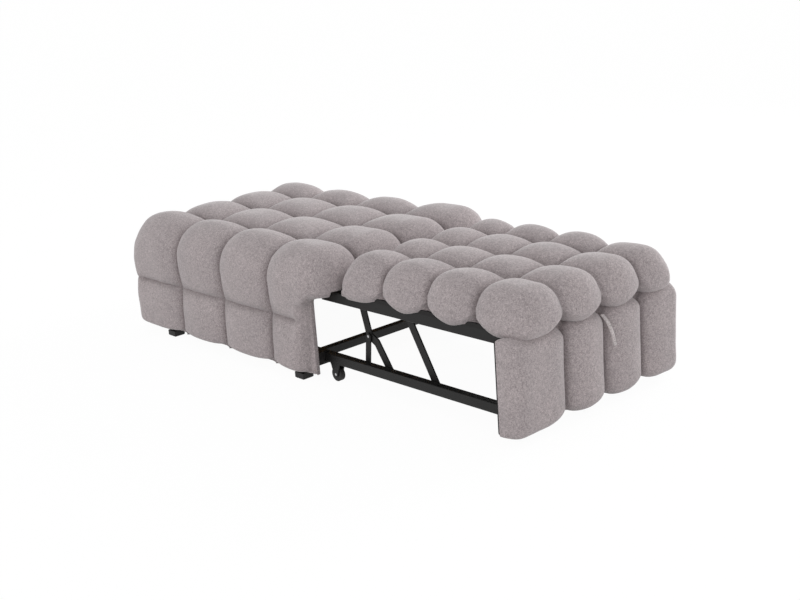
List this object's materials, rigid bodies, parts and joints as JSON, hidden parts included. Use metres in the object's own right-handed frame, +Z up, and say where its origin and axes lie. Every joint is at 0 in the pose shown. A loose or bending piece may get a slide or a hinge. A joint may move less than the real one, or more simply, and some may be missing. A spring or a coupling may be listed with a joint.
{
  "type": "convertible single bed",
  "caption": "Tufted upholstered ottoman with a wheeled steel carriage that pulls out of one end and lifts a tufted mattress level with the top to make a single bed.",
  "frame": {"origin": "on the floor, under the middle of the pulled-out bed", "axes": "+X along the bed towards the end that pulls out, +Y across it, +Z up; left names the side at -Y"},
  "size_m": [1.83, 0.76, 0.42],
  "materials": {
    "cover_fabric": "matte",
    "strap_fabric": "matte",
    "black_steel": "satin",
    "bright_steel": "satin",
    "plywood": "matte",
    "black_board": "matte",
    "black_plastic": "satin"
  },
  "bodies": {
    "ottoman": {"top_cushion": "cover_fabric", "left_side_pad": "cover_fabric", "right_side_pad": "cover_fabric", "end_pad": "cover_fabric", "left_side_board": "plywood", "right_side_board": "plywood", "end_board": "plywood", "top_deck": "plywood", "corner_posts": "plywood", "feet": "black_plastic", "left_guide_shoe": "black_plastic", "right_guide_shoe": "black_plastic"},
    "carriage": {"left_rail": "black_steel", "right_rail": "black_steel", "inner_cross_tube": "black_steel", "outer_cross_tube": "black_steel", "roller_brackets": "black_steel", "roller_axles": "bright_steel", "front_panel_board": "black_board", "front_panel_pad": "cover_fabric", "panel_screws": "bright_steel", "pull_strap": "strap_fabric", "lower_arm_pins": "bright_steel"},
    "left_front_arm": {"left_front_arm": "black_steel"},
    "right_front_arm": {"right_front_arm": "black_steel"},
    "left_rear_arm": {"left_rear_arm": "black_steel", "left_stay_pin": "bright_steel"},
    "right_rear_arm": {"right_rear_arm": "black_steel", "right_stay_pin": "bright_steel"},
    "left_stay": {"left_stay": "black_steel"},
    "right_stay": {"right_stay": "black_steel"},
    "platform": {"left_platform_rail": "black_steel", "right_platform_rail": "black_steel", "inner_platform_rail": "black_steel", "outer_platform_rail": "black_steel", "platform_slats": "black_steel", "deck_board": "black_board", "upper_arm_pins": "bright_steel", "mattress": "cover_fabric"},
    "left_inner_roller": {"left_inner_roller": "black_plastic"},
    "right_inner_roller": {"right_inner_roller": "black_plastic"},
    "left_front_roller": {"left_front_roller": "black_plastic"},
    "right_front_roller": {"right_front_roller": "black_plastic"}
  },
  "joints": [
    {"name": "pull_out", "type": "slide", "parent": "ottoman", "child": "carriage", "axis": [1, 0, 0], "range_m": [0, 0.12]},
    {"name": "left_front_arm_swing", "type": "hinge", "parent": "carriage", "child": "left_front_arm", "pos_m": [0.53292, -0.2609, 0.07], "axis": [0, -1, 0], "range_deg": [0, 50]},
    {"name": "left_rear_arm_swing", "type": "hinge", "parent": "carriage", "child": "left_rear_arm", "pos_m": [0.34203, -0.2609, 0.07], "axis": [0, -1, 0], "range_deg": [0, 50]},
    {"name": "left_stay_fold", "type": "hinge", "parent": "left_rear_arm", "child": "left_stay", "pos_m": [0.26103, -0.2662, 0.162], "axis": [0, -1, 0], "range_deg": [0, 38]},
    {"name": "right_front_arm_swing", "type": "hinge", "parent": "carriage", "child": "right_front_arm", "pos_m": [0.53292, 0.2609, 0.07], "axis": [0, -1, 0], "range_deg": [0, 50]},
    {"name": "right_rear_arm_swing", "type": "hinge", "parent": "carriage", "child": "right_rear_arm", "pos_m": [0.34203, 0.2609, 0.07], "axis": [0, -1, 0], "range_deg": [0, 50]},
    {"name": "right_stay_fold", "type": "hinge", "parent": "right_rear_arm", "child": "right_stay", "pos_m": [0.26103, 0.2662, 0.162], "axis": [0, -1, 0], "range_deg": [0, 38]},
    {"name": "platform_level", "type": "hinge", "parent": "left_front_arm", "child": "platform", "pos_m": [0.42492, -0.2609, 0.265], "axis": [0, -1, 0], "range_deg": [-50, 0]},
    {"name": "left_inner_roller_spin", "type": "hinge", "parent": "carriage", "child": "left_inner_roller", "pos_m": [0.125, -0.2815, 0.022], "axis": [0, 1, 0], "continuous": true},
    {"name": "right_inner_roller_spin", "type": "hinge", "parent": "carriage", "child": "right_inner_roller", "pos_m": [0.125, 0.2815, 0.022], "axis": [0, 1, 0], "continuous": true},
    {"name": "left_front_roller_spin", "type": "hinge", "parent": "carriage", "child": "left_front_roller", "pos_m": [0.793, -0.2015, 0.022], "axis": [0, 1, 0], "continuous": true},
    {"name": "right_front_roller_spin", "type": "hinge", "parent": "carriage", "child": "right_front_roller", "pos_m": [0.793, 0.2015, 0.022], "axis": [0, 1, 0], "continuous": true}
  ],
  "couplings": [
    {"joint": "left_front_arm_swing", "follows": "pull_out", "rad_per_m": 7.2722},
    {"joint": "left_rear_arm_swing", "follows": "pull_out", "rad_per_m": 7.2722},
    {"joint": "left_stay_fold", "follows": "pull_out", "rad_per_m": 5.5269},
    {"joint": "right_front_arm_swing", "follows": "pull_out", "rad_per_m": 7.2722},
    {"joint": "right_rear_arm_swing", "follows": "pull_out", "rad_per_m": 7.2722},
    {"joint": "right_stay_fold", "follows": "pull_out", "rad_per_m": 5.5269},
    {"joint": "platform_level", "follows": "pull_out", "rad_per_m": -7.2722}
  ]
}
